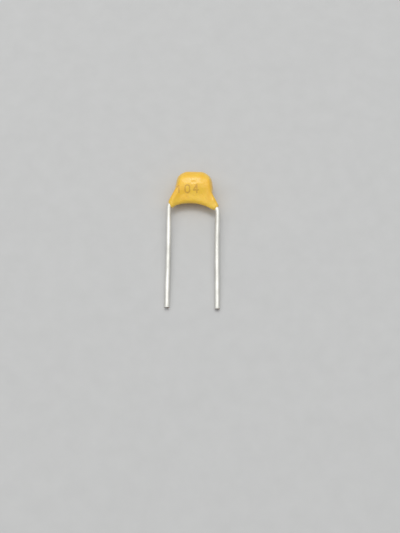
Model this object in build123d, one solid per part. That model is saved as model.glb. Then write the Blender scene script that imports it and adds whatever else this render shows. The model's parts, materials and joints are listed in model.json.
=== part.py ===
from build123d import *
import os
from math import sqrt

# A radial-leaded, dipped multilayer ceramic capacitor, in millimetres.
# It is built upright, with X across the two leads, Y up along the leads and Z through its thickness; Y = 0 is
# the lower end of the right foot. At the end the whole part is laid down as it comes to rest on a table.

# leads
lead_pitch = 5.08
wire_diameter = 0.5
lead_length = 11.0  # straight length below Y = 0
left_lead_short = 0.08  # the left wire is cut this much shorter
right_bend_y = 0.03  # where the right wire's sloping run meets its straight run
left_bend_rise = 0.32  # the left wire's bends are this much higher
slope_height = 1.95  # drop of each wire's sloping run
bend_radius = 1.0

# chip
chip_length = 2.0
chip_height = 1.25
chip_thickness = 1.25
chip_centre_y = 2.9
chip_shift = 0.08  # the chip hangs a little to the right of the middle
cap_wall = 0.05  # plated end cap
cap_band = 0.4  # how far the cap wraps along the chip
cap_edge = 0.1  # rounding of the cap's corners
block_edge = 0.06  # rounding of the ceramic's corners
plates_per_side = 6
plate_thickness = 0.04
plate_margin = 0.15  # ceramic left beside and beyond each plate

# joint between chip and wire
solder_film = 0.05
solder_length = 1.0
solder_foot = 0.48  # half width of the solder where it wets the cap
wire_end_above_centre = 0.6

# coat
coat_height = 4.2
coat_root = 0.3  # the bell is drawn this far below Y = 0 and then trimmed at the feet
coat_front_wall = 0.6  # over the front and the back of the chip
coat_side_walls = [0.0, 0.04, 0.08, 0.22, 0.31, 0.24, 0.06]  # outside the wires, at even levels from root to top
coat_swell = [0.0, 0.07, 0.4, 0.77, 1.0, 1.0, 0.72]  # share of the full thickness gained at the same levels
top_round = 0.95
foot_half_thickness = 0.4
arch_crown_y = 0.72
arch_span = 4.3
arch_lip = 0.8  # rounding of the rim across its thickness
left_foot_end_y = 0.72  # outer end of the coat on each wire
right_foot_end_y = 0.35
left_foot_y = 0.12  # inner end of the coat on each wire
right_foot_y = 0.0

wire_radius = wire_diameter / 2
wire_x = lead_pitch / 2
block_length = chip_length - 2 * cap_wall
block_height = chip_height - 2 * cap_wall
block_thickness = chip_thickness - 2 * cap_wall
joint_x = chip_length / 2 + solder_film + wire_radius
coat_half_thickness = chip_thickness / 2 + coat_front_wall


def wire_reach(side, bend_y, level):
    """How far out the side of a wire reaches at a level, taking its bends as sharp corners."""
    upper_x = joint_x + side * chip_shift
    slope = (wire_x - upper_x) / slope_height
    climb = min(max(level - bend_y, 0), slope_height)
    inside = 0 < climb < slope_height
    half = wire_radius * sqrt(1 + slope**2) if inside else wire_radius
    return wire_x - slope * climb + half


def coat_stations():
    """Level, left reach, right reach and half thickness of the coat, from its root to its top."""
    step = (coat_height + coat_root) / (len(coat_side_walls) - 1)
    swell = coat_half_thickness - foot_half_thickness
    stations = []
    for number, (wall, share) in enumerate(zip(coat_side_walls, coat_swell)):
        level = number * step - coat_root
        left = wire_reach(-1, right_bend_y + left_bend_rise, level) + wall
        right = wire_reach(1, right_bend_y, level) + wall
        stations.append((level, left, right, foot_half_thickness + share * swell))
    return stations


def make_wire(side, bend_y, length):
    """One lead: up beside the chip, out along its slope and straight down; side is -1 for left and 1 for right."""
    upper_x = chip_shift + side * joint_x
    corners = [
        (upper_x, chip_centre_y + wire_end_above_centre),
        (upper_x, bend_y + slope_height),
        (side * wire_x, bend_y),
        (side * wire_x, -length),
    ]
    path = FilletPolyline(*corners, radius=bend_radius)
    start = Plane(origin=path @ 0, z_dir=path % 0)
    return sweep(start * Circle(wire_radius), path=path)


def make_plates(side):
    """One set of electrode plates, joined to the cap on its own side and clear of the other."""
    reach = block_length - plate_margin
    width = block_height - 2 * plate_margin
    count = 2 * plates_per_side
    gap = (block_thickness - 2 * plate_margin) / (count - 1)
    plates = []
    for number in range(plates_per_side):
        order = 2 * number if side < 0 else 2 * number + 1
        z = -block_thickness / 2 + plate_margin + order * gap
        place = Pos(chip_shift + side * plate_margin / 2, chip_centre_y, z)
        plates.append(place * Box(reach, width, plate_thickness))
    return Compound(plates)


def make_block():
    """The fired ceramic as one closed block."""
    block = Box(block_length, block_height, block_thickness)
    return Pos(chip_shift, chip_centre_y, 0) * fillet(block.edges(), block_edge)


def make_cap(side, block):
    """A cup of plated metal over one end of the chip."""
    outer = Box(chip_length, chip_height, chip_thickness)
    outer = fillet(outer.edges(), cap_edge)
    band = Pos(side * (chip_length - cap_band) / 2, 0, 0) * Box(cap_band, chip_height, chip_thickness)
    return Pos(chip_shift, chip_centre_y, 0) * (outer & band) - block


def make_solder(side, wire):
    """Solder between one cap and its wire, drawn in at both sides where it wets them."""
    inner_x = side * chip_length / 2
    outer_x = side * (joint_x + 0.3 * wire_radius)
    neck_x = side * (joint_x - 0.5 * wire_radius)
    outer_z = 1.12 * wire_radius
    neck_z = 1.32 * wire_radius
    upper = ThreePointArc((inner_x, solder_foot), (neck_x, neck_z), (outer_x, outer_z))
    end = Line((outer_x, outer_z), (outer_x, -outer_z))
    lower = ThreePointArc((outer_x, -outer_z), (neck_x, -neck_z), (inner_x, -solder_foot))
    seat = Line((inner_x, -solder_foot), (inner_x, solder_foot))
    outline = make_face([upper, end, lower, seat])
    top = chip_centre_y + solder_length / 2
    level = Plane(origin=(chip_shift, top, 0), x_dir=(1, 0, 0), z_dir=(0, -1, 0))
    return extrude(level * outline, solder_length) - wire


def make_arch_cutter():
    """A spool lying through the thickness: it cuts the arch and leaves its rim round."""
    rise = arch_crown_y - (left_foot_y + right_foot_y) / 2
    radius = ((arch_span / 2) ** 2 + rise**2) / (2 * rise)
    reach = 0.94 * arch_lip
    flare = arch_lip - sqrt(arch_lip**2 - reach**2)
    beyond = 2 * coat_half_thickness
    side = Plane.XZ
    waist = ThreePointArc((radius + flare, -reach), (radius, 0), (radius + flare, reach))
    rest = Polyline(
        (radius + flare, reach),
        (radius + flare, beyond),
        (0, beyond),
        (0, -beyond),
        (radius + flare, -beyond),
        (radius + flare, -reach),
    )
    spool = revolve(side * make_face([waist, rest]), Axis.Z)
    return Pos(0, arch_crown_y - radius, 0) * spool


def make_foot_cutter():
    """Ends the coat on a slant at each wire, higher on the outer side than on the inner side."""
    inner_x = arch_span / 2
    outer_x = wire_x + wire_radius
    beyond = 2 * wire_x
    left_slope = (left_foot_end_y - left_foot_y) / (outer_x - inner_x)
    right_slope = (right_foot_end_y - right_foot_y) / (outer_x - inner_x)
    outline = Polyline(
        (-inner_x, left_foot_y),
        (inner_x, right_foot_y),
        (beyond, right_foot_y + right_slope * (beyond - inner_x)),
        (beyond, -beyond),
        (-beyond, -beyond),
        (-beyond, left_foot_y + left_slope * (beyond - inner_x)),
        (-inner_x, left_foot_y),
    )
    return extrude(make_face([outline]), 2 * coat_half_thickness, both=True)


def make_coat(inner):
    """The dipped coat: a bell over the chip and wires, arched between its feet, less everything that it holds."""
    sections = []
    for level, left, right, half in coat_stations():
        place = Plane(origin=((right - left) / 2, level, 0), x_dir=(1, 0, 0), z_dir=(0, 1, 0))
        sections.append(place * SlotOverall(left + right, 2 * half))
    bell = loft(sections)
    top = bell.faces().sort_by(Axis.Y)[-1]
    bell = fillet(top.edges(), top_round)
    coat = bell - make_arch_cutter() - make_foot_cutter()
    for piece in inner:
        coat = coat - piece
    return coat


def rest_tilt(coat, wire):
    """The lean, in degrees, at which the coat's back and the tip of the longer lead touch one table."""
    low = 0.0
    high = 15.0
    while high - low > 1e-4:
        middle = (low + high) / 2
        turn = Rot(middle, 0, 0)
        if (turn * wire).bounding_box().min.Z > (turn * coat).bounding_box().min.Z:
            low = middle
        else:
            high = middle
    return high


block = make_block()
plates_left = make_plates(-1)
plates_right = make_plates(1)
chip = block - plates_left - plates_right
cap_left = make_cap(-1, block)
cap_right = make_cap(1, block)
wire_left = make_wire(-1, right_bend_y + left_bend_rise, lead_length - left_lead_short)
wire_right = make_wire(1, right_bend_y, lead_length)
joint_left = make_solder(-1, wire_left)
joint_right = make_solder(1, wire_right)
coat = make_coat([block, cap_left, cap_right, joint_left, joint_right, wire_left, wire_right])

nodes = {
    "epoxy_coating": coat,
    "lead_left": wire_left,
    "lead_right": wire_right,
    "ceramic_chip": chip,
    "electrodes_left": plates_left,
    "electrodes_right": plates_right,
    "termination_left": cap_left,
    "termination_right": cap_right,
    "solder_left": joint_left,
    "solder_right": joint_right,
}

os.makedirs("parts", exist_ok=True)
tilt = rest_tilt(coat, wire_right)
laid = {name: Rot(tilt, 0, 0) * piece for name, piece in nodes.items()}
boxes = [piece.bounding_box() for piece in laid.values()]
middle_x = (min(b.min.X for b in boxes) + max(b.max.X for b in boxes)) / 2
middle_y = (min(b.min.Y for b in boxes) + max(b.max.Y for b in boxes)) / 2
lowest = min(b.min.Z for b in boxes)
for name, piece in laid.items():
    export_step(Pos(-middle_x, -middle_y, -lowest) * piece, f"parts/{name}.step")
    print(name, round(piece.volume, 4), piece.is_valid, round(piece.bounding_box().min.Z - lowest, 4))
print("tilt", round(tilt, 3), "shift", round(-middle_x, 4), round(-middle_y, 4), round(-lowest, 4))
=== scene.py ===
import bpy
import json
import math
from mathutils import Matrix, Vector


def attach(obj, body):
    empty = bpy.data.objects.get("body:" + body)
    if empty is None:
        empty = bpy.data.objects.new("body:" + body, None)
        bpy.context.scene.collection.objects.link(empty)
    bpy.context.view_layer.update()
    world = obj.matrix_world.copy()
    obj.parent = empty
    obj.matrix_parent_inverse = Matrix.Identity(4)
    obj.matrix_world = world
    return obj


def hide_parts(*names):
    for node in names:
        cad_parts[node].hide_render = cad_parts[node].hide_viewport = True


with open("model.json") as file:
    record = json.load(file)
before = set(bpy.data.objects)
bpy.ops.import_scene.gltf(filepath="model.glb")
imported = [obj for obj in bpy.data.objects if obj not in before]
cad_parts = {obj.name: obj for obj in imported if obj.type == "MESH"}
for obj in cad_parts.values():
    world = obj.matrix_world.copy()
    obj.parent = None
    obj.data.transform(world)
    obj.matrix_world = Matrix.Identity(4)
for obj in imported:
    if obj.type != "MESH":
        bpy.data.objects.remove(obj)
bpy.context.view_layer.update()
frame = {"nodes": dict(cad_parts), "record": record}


# The ceramic chip: a block of fired dielectric powder, pressed in thin sheets with the plates between them and
# sintered in one piece. It is matt, dense and brown-grey, with faint lines where the sheets met, and it lies
# where the CAD has it.

# Every piece follows one upright drawing in millimetres: X across the leads, Y up along them from the right foot
# of the coat, Z through the thickness. lay_down takes the drawing to the part as it lies on the table.
millimetre = 0.001
lead_length = 11.0
right_mount = next(m for m in frame["record"]["mounts"] if m["name"] == "right_lead")
down_lead = Vector(right_mount["axis"]).normalized()
lean = math.asin(-down_lead.z)
tip = Vector(right_mount["pos_m"]) + down_lead * right_mount["dims"]["length_mm"] / 2 * millimetre
foot = tip - down_lead * lead_length * millimetre
foot.x = 0
lay_down = Matrix.Translation(foot) @ Matrix.Rotation(lean, 4, "X") @ Matrix.Scale(millimetre, 4)


class Flow:
    """A socket of a node tree: arithmetic on it adds Math nodes, and node() adds any other."""

    def __init__(self, tree, socket=None):
        self.tree = tree
        self.socket = socket

    def node(self, kind, values=None, result=0, **settings):
        made = self.tree.nodes.new(kind)
        for name, value in settings.items():
            setattr(made, name, value)
        for key, value in (values or {}).items():
            if isinstance(value, Flow):
                self.tree.links.new(value.socket, made.inputs[key])
            else:
                made.inputs[key].default_value = value
        return Flow(self.tree, made.outputs[result] if len(made.outputs) else None)

    def also(self, result):
        """Another result of the same node."""
        return Flow(self.tree, self.socket.node.outputs[result])

    def maths(self, operation, *values):
        return self.node("ShaderNodeMath", dict(enumerate(values)), operation=operation)

    def vector(self, operation, other=(0, 0, 0), result="Vector"):
        return self.node("ShaderNodeVectorMath", {0: self, 1: other}, result, operation=operation)

    def __add__(self, other):
        return self.maths("ADD", self, other)

    def __sub__(self, other):
        return self.maths("SUBTRACT", self, other)

    def __rsub__(self, other):
        return self.maths("SUBTRACT", other, self)

    def __mul__(self, other):
        return self.maths("MULTIPLY", self, other)

    def __truediv__(self, other):
        return self.maths("DIVIDE", self, other)

    def __abs__(self):
        return self.maths("ABSOLUTE", self)

    __radd__ = __add__
    __rmul__ = __mul__

    def root_sum(self, other):
        """The length of a straight line that runs this far one way and the other value across it."""
        return self.maths("SQRT", self * self + other * other)

    def ease(self, low, high, start=0.0, end=1.0):
        """Eases from start to end as this value goes from low to high."""
        span = {"Value": self, "From Min": low, "From Max": high, "To Min": start, "To Max": end}
        return self.node("ShaderNodeMapRange", span, interpolation_type="SMOOTHSTEP")

    def axes(self):
        apart = self.node("ShaderNodeSeparateXYZ", {0: self})
        return apart, apart.also("Y"), apart.also("Z")

    def noise(self, scale, detail=2.0, stretch=(1, 1, 1)):
        """Cloudy noise from 0 to 1 over this place, with a scale in waves per millimetre."""
        values = {"Vector": self.vector("MULTIPLY", stretch), "Scale": scale, "Detail": detail}
        return self.node("ShaderNodeTexNoise", values)

    def blend(self, first, second):
        """Goes from the first colour to the second as this value goes from 0 to 1."""
        ends = [end if isinstance(end, Flow) else (*end, 1) for end in (first, second)]
        values = {"Factor": self, 6: ends[0], 7: ends[1]}
        return self.node("ShaderNodeMix", values, result=2, data_type="RGBA")


def new_finish(name):
    """An empty material, a flow to start from and the place on the drawing, in millimetres."""
    finish = bpy.data.materials.new(name)
    finish.use_nodes = True
    finish.node_tree.nodes.clear()
    start = Flow(finish.node_tree)
    here = start.node("ShaderNodeTexCoord", result="Object")
    stand_up = lay_down.inverted()
    values = {
        "Vector": here,
        "Scale": [1 / millimetre] * 3,
        "Rotation": (-lean, 0, 0),
        "Location": stand_up.translation,
    }
    return finish, start, start.node("ShaderNodeMapping", values)


def surface_with(start, relief, depth, **sockets):
    """Ends a material: one Principled surface, with relief of the given depth in millimetres."""
    values = {"Height": relief, "Distance": depth * millimetre, "Strength": 1.0}
    bump = start.node("ShaderNodeBump", values)
    values = {name.replace("_", " "): value for name, value in sockets.items()}
    surface = start.node("ShaderNodeBsdfPrincipled", {**values, "Normal": bump})
    start.node("ShaderNodeOutputMaterial", {"Surface": surface})


def dress(names, finish):
    """Gives the CAD nodes of these names a finish of their own."""
    for name in names:
        for held in frame["nodes"][name].material_slots:
            held.material = finish


dark_ceramic = (0.20, 0.15, 0.11)
pale_ceramic = (0.42, 0.34, 0.26)
fired_ceramic, start, place = new_finish("fired_ceramic")
grain = place.noise(scale=28, detail=3)
sheets = place.noise(scale=3, stretch=(0.2, 0.2, 9))
ceramic = (grain * 0.6 + sheets * 0.4).blend(dark_ceramic, pale_ceramic)
surface_with(start, grain, depth=0.01, Base_Color=ceramic, Roughness=grain * 0.2 + 0.65)
dress(["ceramic_chip"], fired_ceramic)


# The plates: two combs of nickel film printed on the ceramic sheets and sintered with them. Each comb reaches
# only the cap on its own side.
dark_nickel = (0.30, 0.28, 0.25)
bright_nickel = (0.58, 0.55, 0.50)
nickel_film, start, place = new_finish("sintered_nickel")
pores = place.noise(scale=40, detail=3)
nickel = pores.ease(0.35, 0.6).blend(dark_nickel, bright_nickel)
surface_with(start, pores, depth=0.004, Base_Color=nickel, Roughness=pores * 0.3 + 0.4, Metallic=1.0)
dress(["electrodes_left", "electrodes_right"], nickel_film)


# The end caps: copper paste dipped over each end of the chip, fired, then plated with nickel and tin. The tin
# is satin, and a little pitted where the paste was rough.
pitted_tin = (0.52, 0.50, 0.47)
satin_tin = (0.80, 0.79, 0.75)
plated_cap, start, place = new_finish("plated_cap")
pits = place.noise(scale=22, detail=4)
tin = pits.ease(0.3, 0.65).blend(pitted_tin, satin_tin)
surface_with(start, pits, depth=0.008, Base_Color=tin, Roughness=pits * 0.3 + 0.25, Metallic=1.0)
dress(["termination_left", "termination_right"], plated_cap)


# The leads: hard-drawn copper-clad steel wire, tinned, bent out from the chip to the standard pitch and cut
# with shears after the coat was cured. Each runs up inside the coat, where it is soldered beside the chip.
chip_x = 0.08  # the chip hangs a little to the right
wire_in_x = 1.30  # from the middle of the chip to each wire beside it
wire_out_x = 2.54
wire_top_y = 3.5
slope_height = {-1: 1.95, 1: 2.08}  # -1 is the left side and 1 the right
low_bend_y = {-1: 0.35, 1: -0.1}
tip_x = {-1: -2.48, 1: 2.54}
tip_y = {-1: -10.92, 1: -lead_length}
bow = {-1: 0.03, 1: -0.05}  # how far the straight run bows sideways
bow_at = 0.35  # where it bows most, as a share of its length
wire_sizes = {
    "Wire radius": 0.25,
    "Bend radius": 1.0,
    "Spacing": 0.06,  # between the rings of the mesh
    "Pinch": 0.16,  # how far up the shears' pinch reaches
    "Squeeze": -0.14,  # how much the pinch flattens the wire
    "Slant": -0.12,  # of the cut across the thickness
    "Set back": 0.03,  # of the middle of the cut
}
wire_radius = wire_sizes["Wire radius"]
wire_sides = 40
bend_steps = 14


def new_tree(name, inputs):
    """A Geometry Nodes tree with named inputs, and the flow that gives them."""
    tree = bpy.data.node_groups.new(name, "GeometryNodeTree")
    tree.interface.new_socket("Geometry", in_out="INPUT", socket_type="NodeSocketGeometry")
    for label, kind in inputs.items():
        tree.interface.new_socket(label, in_out="INPUT", socket_type="NodeSocket" + kind)
    tree.interface.new_socket("Geometry", in_out="OUTPUT", socket_type="NodeSocketGeometry")
    return tree, Flow(tree).node("NodeGroupInput")


def end_tree(flow, given):
    """Every tree ends in plain, smooth geometry that carries its finish."""
    smooth = flow.node("GeometryNodeSetShadeSmooth", {"Geometry": flow})
    real = flow.node("GeometryNodeRealizeInstances", {"Geometry": smooth})
    dressed = flow.node("GeometryNodeSetMaterial", {"Geometry": real, "Material": given.also("Finish")})
    flow.node("NodeGroupOutput", {"Geometry": dressed})


def grow(name, points, edges, tree, values):
    """Runs a tree on a path of points and keeps the result as one plain mesh, laid down where the part lies."""
    seed = bpy.data.meshes.new(name)
    seed.from_pydata(points, edges, [])
    piece = bpy.data.objects.new(name, seed)
    bpy.context.scene.collection.objects.link(piece)
    modifier = piece.modifiers.new(name, "NODES")
    modifier.node_group = tree
    for socket in tree.interface.items_tree:
        if socket.in_out == "INPUT" and socket.name in values:
            modifier[socket.identifier] = values[socket.name]
    grown = piece.evaluated_get(bpy.context.evaluated_depsgraph_get())
    mesh = bpy.data.meshes.new_from_object(grown)
    piece.modifiers.remove(modifier)
    mesh.transform(lay_down)
    mesh.name = name
    piece.data = mesh
    return piece


def make_lead_tree():
    """A wire along a path, bowed a little over its length and pinched where the shears cut it."""
    floats = {label: "Float" for label in [*wire_sizes, "Tip level", "Bow"]}
    tree, given = new_tree("drawn_wire", {**floats, "Sides": "Int", "Bend steps": "Int", "Finish": "Material"})
    path = given.node("GeometryNodeMeshToCurve", {"Mesh": given.also("Geometry")})
    rounding = {
        "Curve": path,
        "Radius": given.also("Bend radius"),
        "Limit Radius": True,
        "Count": given.also("Bend steps"),
    }
    bent = given.node("GeometryNodeFilletCurve", rounding, mode="POLY")
    spaced = {"Curve": bent, "Length": given.also("Spacing")}
    even = given.node("GeometryNodeResampleCurve", spaced, mode="LENGTH")
    ring = {"Resolution": given.also("Sides"), "Radius": given.also("Wire radius")}
    profile = given.node("GeometryNodeCurvePrimitiveCircle", ring)
    wire = {"Curve": even, "Profile Curve": profile, "Fill Caps": True}
    drawn = given.node("GeometryNodeCurveToMesh", wire)

    x, y, z = given.node("GeometryNodeInputPosition").axes()
    tip_level = given.also("Tip level")
    run = (0 - y) / (0 - tip_level)
    sideways = run.ease(0.0, bow_at) * (1 - run.ease(bow_at, 1.0)) * given.also("Bow")
    near = 1 - (y - tip_level).ease(0.0, given.also("Pinch"))
    cut = near * near * (z * given.also("Slant") + given.also("Set back"))
    squeeze = near * z * given.also("Squeeze")
    shift = given.node("ShaderNodeCombineXYZ", {"X": sideways, "Y": cut, "Z": squeeze})

    normal_y = given.node("GeometryNodeInputNormal").axes()[1]
    store = {"Geometry": drawn, "Name": "cut_face", "Value": normal_y.ease(-0.5, -0.9)}
    marked = drawn.node("GeometryNodeStoreNamedAttribute", store, data_type="FLOAT", domain="FACE")
    end_tree(drawn.node("GeometryNodeSetPosition", {"Geometry": marked, "Offset": shift}), given)
    return tree


bright_tin = (0.77, 0.76, 0.71)
dull_tin = (0.63, 0.62, 0.57)
nick_grey = (0.42, 0.40, 0.36)
# The cut end shows the steel core and the copper cladding, but both are set darker than these metals are:
# painted shade for the cut face, which is turned from the light, and for the shadow under the tip.
core_steel_with_painted_shade = (0.20, 0.19, 0.18)
clad_copper_with_painted_shade = (0.45, 0.24, 0.14)
core_radius = 0.17
clad_from = 0.20  # the copper ring is at its full colour from here out
tinned_wire, start, place = new_finish("tinned_wire")
draw_lines = place.noise(scale=9, detail=3, stretch=(4, 0.12, 4))
tarnish = place.noise(scale=1.1, detail=4, stretch=(1, 0.5, 1))
nicks = place.noise(scale=14, stretch=(1.4, 0.5, 1.4)).ease(0.66, 0.74)
cut_face = start.node("ShaderNodeAttribute", result="Fac", attribute_name="cut_face")
x, y, z = place.axes()
off_axis = abs(x) + (tip_x[-1] - tip_x[1]) / 2
# the cut face's core and ring, darkened with painted shade
cut_metal_with_painted_shade = off_axis.root_sum(z).ease(core_radius, clad_from).blend(core_steel_with_painted_shade, clad_copper_with_painted_shade)
tin_plate = tarnish.ease(0.3, 0.72).blend(bright_tin, dull_tin)
tin_plate = (nicks * 0.5).blend(tin_plate, nick_grey)
surface_with(
    start,
    draw_lines * 0.7 + tarnish * 0.5 - nicks * 0.6,
    depth=0.012,
    Base_Color=cut_face.blend(tin_plate, cut_metal_with_painted_shade),
    Roughness=draw_lines * 0.16 + tarnish * 0.14 + 0.4,
    Metallic=0.85,
)

lead_tree = make_lead_tree()
for side, name in ((-1, "lead_left"), (1, "lead_right")):
    upper_x = chip_x + side * wire_in_x
    corners = [
        (upper_x, wire_top_y, 0),
        (upper_x, low_bend_y[side] + slope_height[side], 0),
        (side * wire_out_x, low_bend_y[side], 0),
        (tip_x[side], tip_y[side], 0),
    ]
    values = {
        **wire_sizes,
        "Tip level": tip_y[side],
        "Bow": bow[side],
        "Sides": wire_sides,
        "Bend steps": bend_steps,
        "Finish": tinned_wire,
    }
    lead = grow(name + "_wire", corners, [(0, 1), (1, 2), (2, 3)], lead_tree, values)
    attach(lead, "root")
    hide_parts(name)


# The solder: a fillet of tin alloy that ran between each cap and its wire when the chip was dipped, bright and
# smooth, with a slight grey bloom.
bright_solder = (0.78, 0.78, 0.77)
grey_bloom = (0.55, 0.55, 0.55)
solder_alloy, start, place = new_finish("solder_alloy")
bloom = place.noise(scale=5, detail=3)
solder = bloom.ease(0.3, 0.7).blend(bright_solder, grey_bloom)
surface_with(start, bloom, depth=0.006, Base_Color=solder, Roughness=bloom * 0.25 + 0.15, Metallic=1.0)
dress(["solder_left", "solder_right"], solder_alloy)


# The coat: the soldered chip dipped leads-up in filled epoxy, then cured hard and glossy. The resin bulges over
# the chip, stands as a ridge over each buried wire, sags in an arch between them and thins out along the leads.
coat_low = (-3.1, -0.5, -1.6)  # the space that is searched for the skin
coat_high = (3.1, 4.6, 1.6)
coat_step = 0.05
arch_span = 4.3
arch_rise = 0.68
coat_sizes = {
    "Bulge radius": 1.12,
    "Wire radius": wire_radius,
    "Web rounding": 0.7,  # of the web's rim at the arch and at its top
    "Web top": 3.3,
    "Arch radius": ((arch_span / 2) ** 2 + arch_rise**2) / (2 * arch_rise),
    "Arch crown": 0.69,
    "Ridge top": 3.7,
    "Dimple radius": 0.42,
    "Dimple depth": 0.038,
    "Lump height": 0.06,
}

bulge_at = (0.02, 2.82, 0)
bulge_core = (0.60, 0.26, 0.08)  # half sizes of the block that the bulge is rounded about
bulge_crown = (0.10, 0.14, 0)  # how fast the front and the back fall away from the middle
crown_most = 0.06
crown_ease = 0.08
crown_z = (0.3, 1.0)  # how far out through the thickness the crown comes in

arch_crown_x = -0.3
web_y = (0, 3.2)
web_half = (0.24, 1.12)  # half thickness at those two levels
web_side_round = 0.5
web_foot_slope = 0.8
web_foot_round = 0.3

foot_inner_x = 2.15
foot_inner_y = {-1: 0.12, 1: 0.06}
foot_outer_y = {-1: 1.1, 1: 0.55}
foot_thinning = 0.32  # wall gained for each millimetre up from the foot's edge
wall_low = {-1: 0.06, 1: 0.015}
wall_high = {-1: 0.25, 1: 0.24}
wall_rise_y = {-1: (0.7, 2.1), 1: (1.2, 2.3)}
wall_fall_y = (2.5, 3.5)
wall_fall = 0.14
wall_ease = 0.1

lower_ease = 0.25  # softness of the ridge's two bends
upper_ease = {-1: 0.42, 1: 0.25}
slope_cosine = 0.86  # of the angle between the wire's slope and upright
ridge_depth = (1, 0.36)  # at the foot and higher up: a lower value makes a deeper ridge
ridge_depth_over = 0.9
ridge_top_round = 0.8
bulge_join = 0.5
ridge_join = 0.55

dimple_at = (-0.02, 2.56)
dimple_width = 1.8  # as a share of its height
dimple_z = (0, 0.5)
lump_scale = 0.6


def coat_skin(place, size):
    """How far a place is outside the coat's skin, in millimetres; it is negative inside."""
    x, y, z = place.axes()

    def join(first, second, reach):
        return x.maths("SMOOTH_MIN", first, second, reach)

    def trim(first, second, reach):
        return x.maths("SMOOTH_MAX", first, second, reach)

    # the bulge over the chip, with its front and back a little crowned
    centred = place.vector("SUBTRACT", bulge_at)
    outside = centred.vector("ABSOLUTE").vector("SUBTRACT", bulge_core).vector("MAXIMUM")
    bulge = outside.vector("LENGTH", result="Value") - size["Bulge radius"]
    crown = centred.vector("MULTIPLY", centred).vector("DOT_PRODUCT", bulge_crown, "Value")
    bulge = bulge + join(crown, crown_most, crown_ease) * abs(z).ease(*crown_z)

    # the web, and the ridges that bound it, which follow the wires and end on a slant at each foot
    web = abs(z) - y.ease(*web_y, *web_half)
    ridges = []
    for side in (-1, 1):
        upper_x = chip_x * side + wire_in_x
        slide = (low_bend_y[side] + slope_height[side] - y) / slope_height[side]
        drop = trim(join(slide, 1, lower_ease), 0, upper_ease[side])
        off = (x * side - (drop * (wire_out_x - upper_x) + upper_x)) * slope_cosine
        web = trim(web, off - size["Wire radius"], web_side_round)
        slant = (foot_outer_y[side] - foot_inner_y[side]) / (wire_out_x + wire_radius - foot_inner_x)
        up = y - foot_inner_y[side] - (x * side - foot_inner_x) * slant
        swell = y.ease(*wall_rise_y[side], wall_low[side], wall_high[side]) - y.ease(*wall_fall_y, 0, wall_fall)
        wall = join(up * foot_thinning, swell, wall_ease)
        web = trim(web, up * -web_foot_slope, web_foot_round)
        depth = up.ease(0, ridge_depth_over, *ridge_depth)
        ridge = x.maths("SQRT", off * off + z * z * depth) - size["Wire radius"] - wall
        ridges.append(trim(ridge, y - size["Ridge top"], ridge_top_round))

    # the arch under the web, then all of it run together
    below = y - size["Arch crown"] + size["Arch radius"]
    arch = size["Arch radius"] - (x - arch_crown_x).root_sum(below)
    web = trim(web, arch, size["Web rounding"])
    web = trim(web, y - size["Web top"], size["Web rounding"])
    body = join(bulge, web, bulge_join)
    for ridge in ridges:
        body = join(body, ridge, ridge_join)

    # a shallow dimple on the front, and lumps where the resin ran
    from_dimple = (x - dimple_at[0]).root_sum((y - dimple_at[1]) * dimple_width)
    dimple = from_dimple.ease(size["Dimple radius"], 0, 0, size["Dimple depth"]) * z.ease(*dimple_z)
    lumps = (place.noise(lump_scale, detail=1) - 0.5) * size["Lump height"]
    return body + lumps + dimple


def make_skin_group():
    """The skin as a group of its own, so that it can be asked about many places."""
    tree = bpy.data.node_groups.new("coat_skin", "GeometryNodeTree")
    tree.interface.new_socket("Place", in_out="INPUT", socket_type="NodeSocketVector")
    for label in coat_sizes:
        tree.interface.new_socket(label, in_out="INPUT", socket_type="NodeSocketFloat")
    tree.interface.new_socket("Outside", in_out="OUTPUT", socket_type="NodeSocketFloat")
    given = Flow(tree).node("NodeGroupInput")
    size = {label: given.also(label) for label in coat_sizes}
    given.node("NodeGroupOutput", {"Outside": coat_skin(given, size)})
    return tree


def make_coat_tree():
    """Fills the coat's space, skins it, and settles every point of the skin exactly on the surface."""
    floats = {label: "Float" for label in coat_sizes}
    tree, given = new_tree("dipped_coat", {**floats, "Finish": "Material"})
    size = {label: given.also(label) for label in coat_sizes}
    skin = make_skin_group()
    here = given.node("GeometryNodeInputPosition")

    def outside(place):
        return given.node("GeometryNodeGroup", {"Place": place, **size}, node_tree=skin)

    counts = [round((high - low) / coat_step) for low, high in zip(coat_low, coat_high)]
    room = {"Density": 0 - outside(here), "Background": -1.0, "Min": coat_low, "Max": coat_high}
    room.update({"Resolution " + axis: count for axis, count in zip("XYZ", counts)})
    volume = given.node("GeometryNodeVolumeCube", room)
    flow = given.node("GeometryNodeVolumeToMesh", {"Volume": volume, "Threshold": 0.0})
    probe = 0.01
    least_steep = 0.05
    settling_rounds = 3
    for _ in range(settling_rounds):
        now = outside(here)
        slopes = []
        for axis in range(3):
            step = tuple(probe if number == axis else 0 for number in range(3))
            slopes.append((outside(here.vector("ADD", step)) - now) / probe)
        uphill = given.node("ShaderNodeCombineXYZ", dict(enumerate(slopes)))
        steep = slopes[0] * slopes[0] + slopes[1] * slopes[1] + slopes[2] * slopes[2]
        back = {0: uphill, "Scale": (0 - now) / (steep + least_steep)}
        shift = given.node("ShaderNodeVectorMath", back, operation="SCALE")
        flow = flow.node("GeometryNodeSetPosition", {"Geometry": flow, "Offset": shift})
    end_tree(flow, given)
    return tree


# Three digits are stamped on the front in thin brown ink, a little askew, and they are worn in places. Each is
# drawn with straight pen strokes, and the nought is a line all round one.
print_x = -0.64  # middle of the second digit
print_y = 1.9
print_turn = math.radians(1.5)
digit_height = 0.7
digit_width = 0.46
digit_pitch = 0.88
stroke = 0.075
stroke_blur = 0.03
one_flag = (-0.13, -0.15)  # from the top of the one to the end of its flag
four_bar = -0.12
four_stem = 0.1


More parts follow.
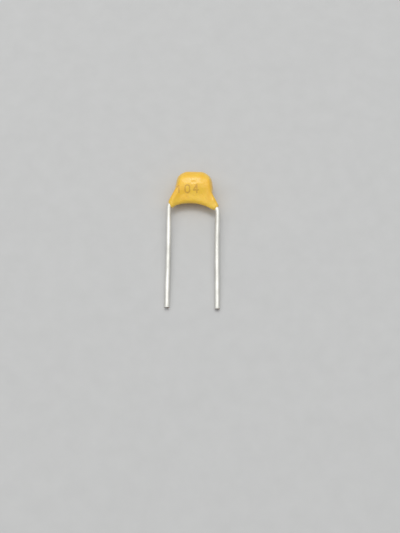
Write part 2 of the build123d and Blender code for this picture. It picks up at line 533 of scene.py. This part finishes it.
def stroke_from(along, rise, first, second):
    """Distance to a straight pen stroke between two points."""
    run = (second[0] - first[0], second[1] - first[1])
    square = run[0] ** 2 + run[1] ** 2
    dx = along - first[0]
    dy = rise - first[1]
    share = (dx * run[0] + dy * run[1]) / square
    share = share.node("ShaderNodeClamp", {"Value": share})
    return (dx - share * run[0]).root_sum(dy - share * run[1])


dipped_epoxy, start, place = new_finish("dipped_epoxy")
x, y, z = place.axes()
across = x - print_x
up = y - print_y
along = across * math.cos(print_turn) + up * math.sin(print_turn)
rise = up * math.cos(print_turn) - across * math.sin(print_turn)
one_along = along + digit_pitch
four_along = along - digit_pitch
top = digit_height / 2
half_wide = digit_width / 2
pen = stroke_from(one_along, rise, (0, -top), (0, top))
for line in (
    stroke_from(one_along, rise, (0, top), (one_flag[0], top + one_flag[1])),
    abs(stroke_from(along, rise, (0, half_wide - top), (0, top - half_wide)) - half_wide),
    stroke_from(four_along, rise, (-half_wide, four_bar), (four_stem, top)),
    stroke_from(four_along, rise, (-half_wide, four_bar), (half_wide, four_bar)),
    stroke_from(four_along, rise, (four_stem, -top), (four_stem, top)),
):
    pen = pen.maths("MINIMUM", pen, line)
worn = place.noise(scale=5).ease(0.2, 0.5, 0.5, 1)
on_front = z.ease(0.1, 0.3)
ink = (1 - pen.ease(stroke - stroke_blur, stroke + stroke_blur)) * worn * on_front

# The resin is orange-yellow and a little cloudy, paler where it is thin, with a few dark specks of filler and
# the soft ripple of a surface that cured hanging.
deep_resin = (0.95, 0.51, 0.018)
clear_resin = (0.98, 0.62, 0.045)
thin_resin = (0.94, 0.64, 0.09)
speck_brown = (0.45, 0.22, 0.03)
ink_brown = (0.46, 0.20, 0.035)
cloud = place.noise(scale=0.9, detail=3)
fine = place.noise(scale=7, detail=3)
thin = 1 - y.ease(0.2, 1.3)
speck = 1 - place.node("ShaderNodeTexVoronoi", {"Vector": place, "Scale": 3.2}).ease(0.03, 0.07)
resin = (cloud * 0.7 + fine * 0.3).ease(0.3, 0.7).blend(deep_resin, clear_resin)
resin = (thin * 0.45).blend(resin, thin_resin)
resin = (speck * 0.35).blend(resin, speck_brown)
resin = (ink * 0.52).blend(resin, ink_brown)
ripple = place.noise(scale=3.2)
dust = place.noise(scale=26)
surface_with(
    start,
    ripple + dust * 0.06 - speck * 0.25,
    depth=0.05,
    Base_Color=resin,
    Roughness=fine * 0.12 + ink * 0.12 + 0.24,
    Coat_Weight=0.25,
    Coat_Roughness=0.12,
)

coat = grow("dipped_coat", [(0, 0, 0)], [], make_coat_tree(), {**coat_sizes, "Finish": dipped_epoxy})
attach(coat, "root")
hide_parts("epoxy_coating")


# The table: a plain pale sheet of card, which the part lies on. It reaches far enough for a low look along it.
table_reach = 0.6
table_corners = [(i * table_reach, j * table_reach, 0) for i, j in ((-1, -1), (1, -1), (1, 1), (-1, 1))]
pale_card = (0.57, 0.57, 0.56)
paler_card = (0.62, 0.62, 0.61)
sheet = bpy.data.meshes.new("table")
sheet.from_pydata(table_corners, [], [(0, 1, 2, 3)])
table = bpy.data.objects.new("table", sheet)
bpy.context.scene.collection.objects.link(table)
card, start, place = new_finish("pale_card")
fibres = place.noise(scale=0.6, detail=3)
surface_with(start, fibres, depth=0.02, Base_Color=fibres.blend(pale_card, paler_card), Roughness=0.9)
sheet.materials.append(card)


# The light: a wide pale ceiling, a brighter soft box a little behind the part, and an even dim room, which
# looks brighter to the eye and in a gloss than it lights.
def soft_box(name, at, size, radiance):
    lamp = bpy.data.lights.new(name, "AREA")
    lamp.shape = "RECTANGLE"
    lamp.size = size[0]
    lamp.size_y = size[1]
    lamp.energy = radiance * math.pi * size[0] * size[1]
    box = bpy.data.objects.new(name, lamp)
    box.location = at
    box.rotation_euler = (-Vector(at)).to_track_quat("-Z", "Y").to_euler()
    bpy.context.scene.collection.objects.link(box)


soft_box("ceiling", at=(-0.05, 0.05, 0.5), size=(0.9, 0.9), radiance=0.8)
soft_box("key_box", at=(-0.012, 0.08, 0.29), size=(0.12, 0.11), radiance=4.8)
room_light = 0.35
room_more_seen = 0.4
room_colour = (0.95, 0.97, 1.0, 1)
world = bpy.data.worlds.new("room")
world.use_nodes = True
world.node_tree.nodes.clear()
start = Flow(world.node_tree)
seen = start.node("ShaderNodeLightPath", result="Is Camera Ray")
mirrored = seen.also("Is Glossy Ray")
strength = (seen + mirrored) * room_more_seen + room_light
room = start.node("ShaderNodeBackground", {"Color": room_colour, "Strength": strength})
start.node("ShaderNodeOutputWorld", {"Surface": room})
bpy.context.scene.world = world


# The camera: held over the leads' side and looking down at the part, well back, with a slight tilt of the hand.
# One point of the drawing is put at a set place in the image, and the eye follows from that.
image_wide = 400
image_high = 533
view_down = math.radians(63.6)
view_roll = math.radians(-0.75)
focal_length = 1000.0  # in the same measure as image_wide and image_high
sensor_long = 36  # the longer side of the sensor, which is upright here
aim = lay_down @ Vector((0, -0.5, 0))
aim_at = (193.2, 213.5)
aim_distance = 0.10367
forward = Vector((0, math.cos(view_down), -math.sin(view_down)))
upward = Vector((0, math.sin(view_down), math.cos(view_down)))
right = forward.cross(upward)
rolled_up = upward * math.cos(view_roll) + right * math.sin(view_roll)
rolled_right = forward.cross(rolled_up)
off_x = (aim_at[0] - image_wide / 2) / focal_length * aim_distance
off_y = (image_high / 2 - aim_at[1]) / focal_length * aim_distance
eye = aim - forward * aim_distance - rolled_right * off_x - rolled_up * off_y
lens = bpy.data.cameras.new("camera")
lens.sensor_width = sensor_long
lens.lens = sensor_long * focal_length / image_high
lens.clip_start = millimetre
camera = bpy.data.objects.new("camera", lens)
camera.matrix_world = Matrix((rolled_right, rolled_up, -forward)).transposed().to_4x4()
camera.matrix_world.translation = eye
bpy.context.scene.collection.objects.link(camera)
bpy.context.scene.camera = camera
bpy.context.scene.view_settings.view_transform = "Standard"
